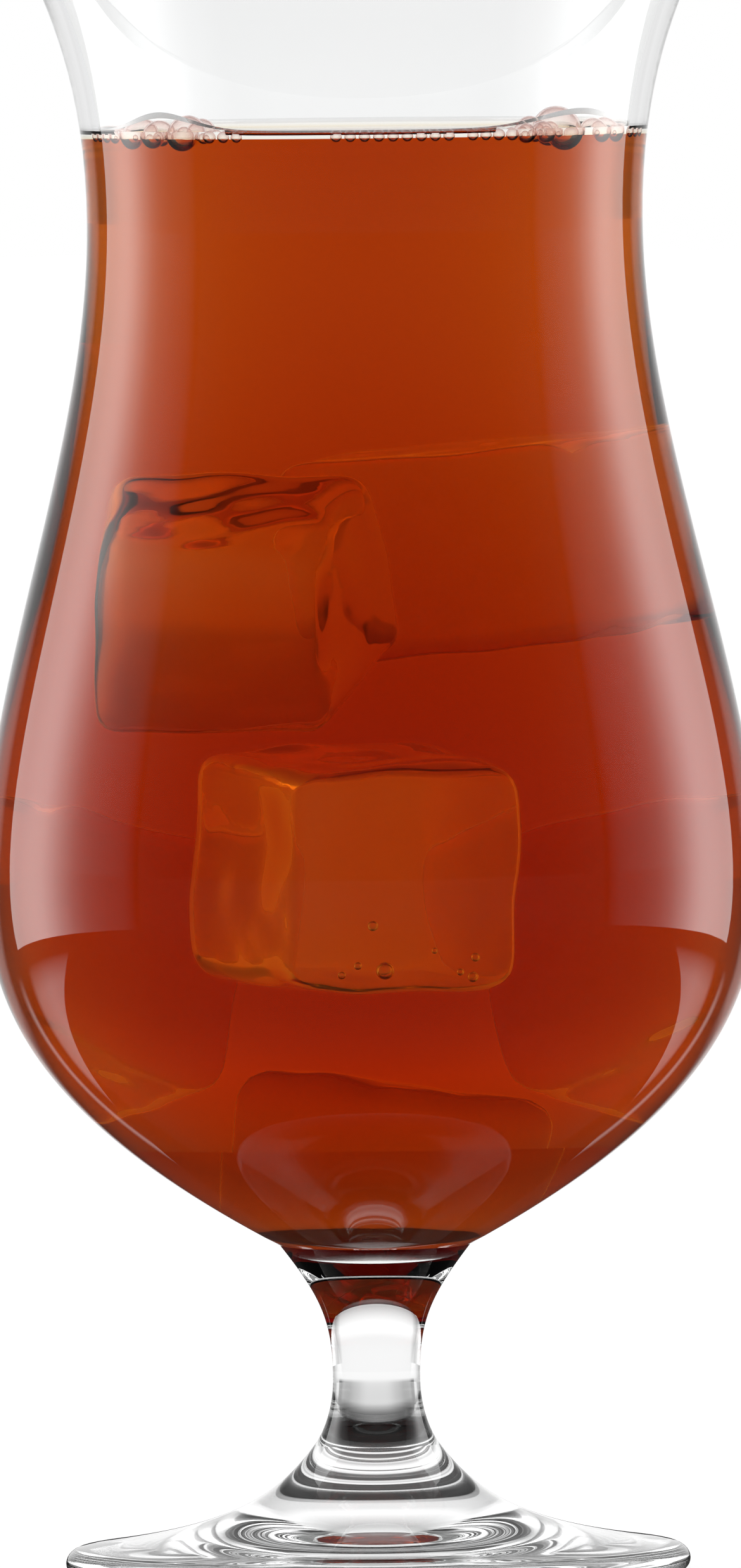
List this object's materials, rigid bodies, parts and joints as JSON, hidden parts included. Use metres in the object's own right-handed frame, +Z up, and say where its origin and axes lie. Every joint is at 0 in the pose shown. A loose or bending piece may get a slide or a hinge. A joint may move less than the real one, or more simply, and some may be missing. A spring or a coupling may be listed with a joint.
{
  "type": "hurricane glass",
  "caption": "Footed hurricane glass with a waisted bowl and a short stem, filled with a red-brown iced drink.",
  "frame": {"origin": "middle of the foot's underside, on the table", "axes": "+Z up along the axis of the glass, -Y towards the viewer of the picture, +X to the viewer's right"},
  "size_m": [0.0868, 0.0868, 0.19],
  "materials": {
    "clear_glass": "clear colourless fire-polished glass",
    "drink": "clear red-brown liquid",
    "ice": "clear ice, tinted by the drink around it",
    "bubble_film": "thin clear bubble film"
  },
  "bodies": {
    "root": {"bowl": "clear_glass", "stem": "clear_glass", "foot": "clear_glass", "drink": "drink", "ice_cube_front": "ice", "ice_cube_bottom": "ice", "ice_cube_left": "ice", "ice_cube_right": "ice", "ice_cube_upper_left": "ice", "ice_cube_upper_back": "ice", "surface_bubbles": "bubble_film", "clinging_bubbles": "bubble_film"}
  },
  "joints": []
}
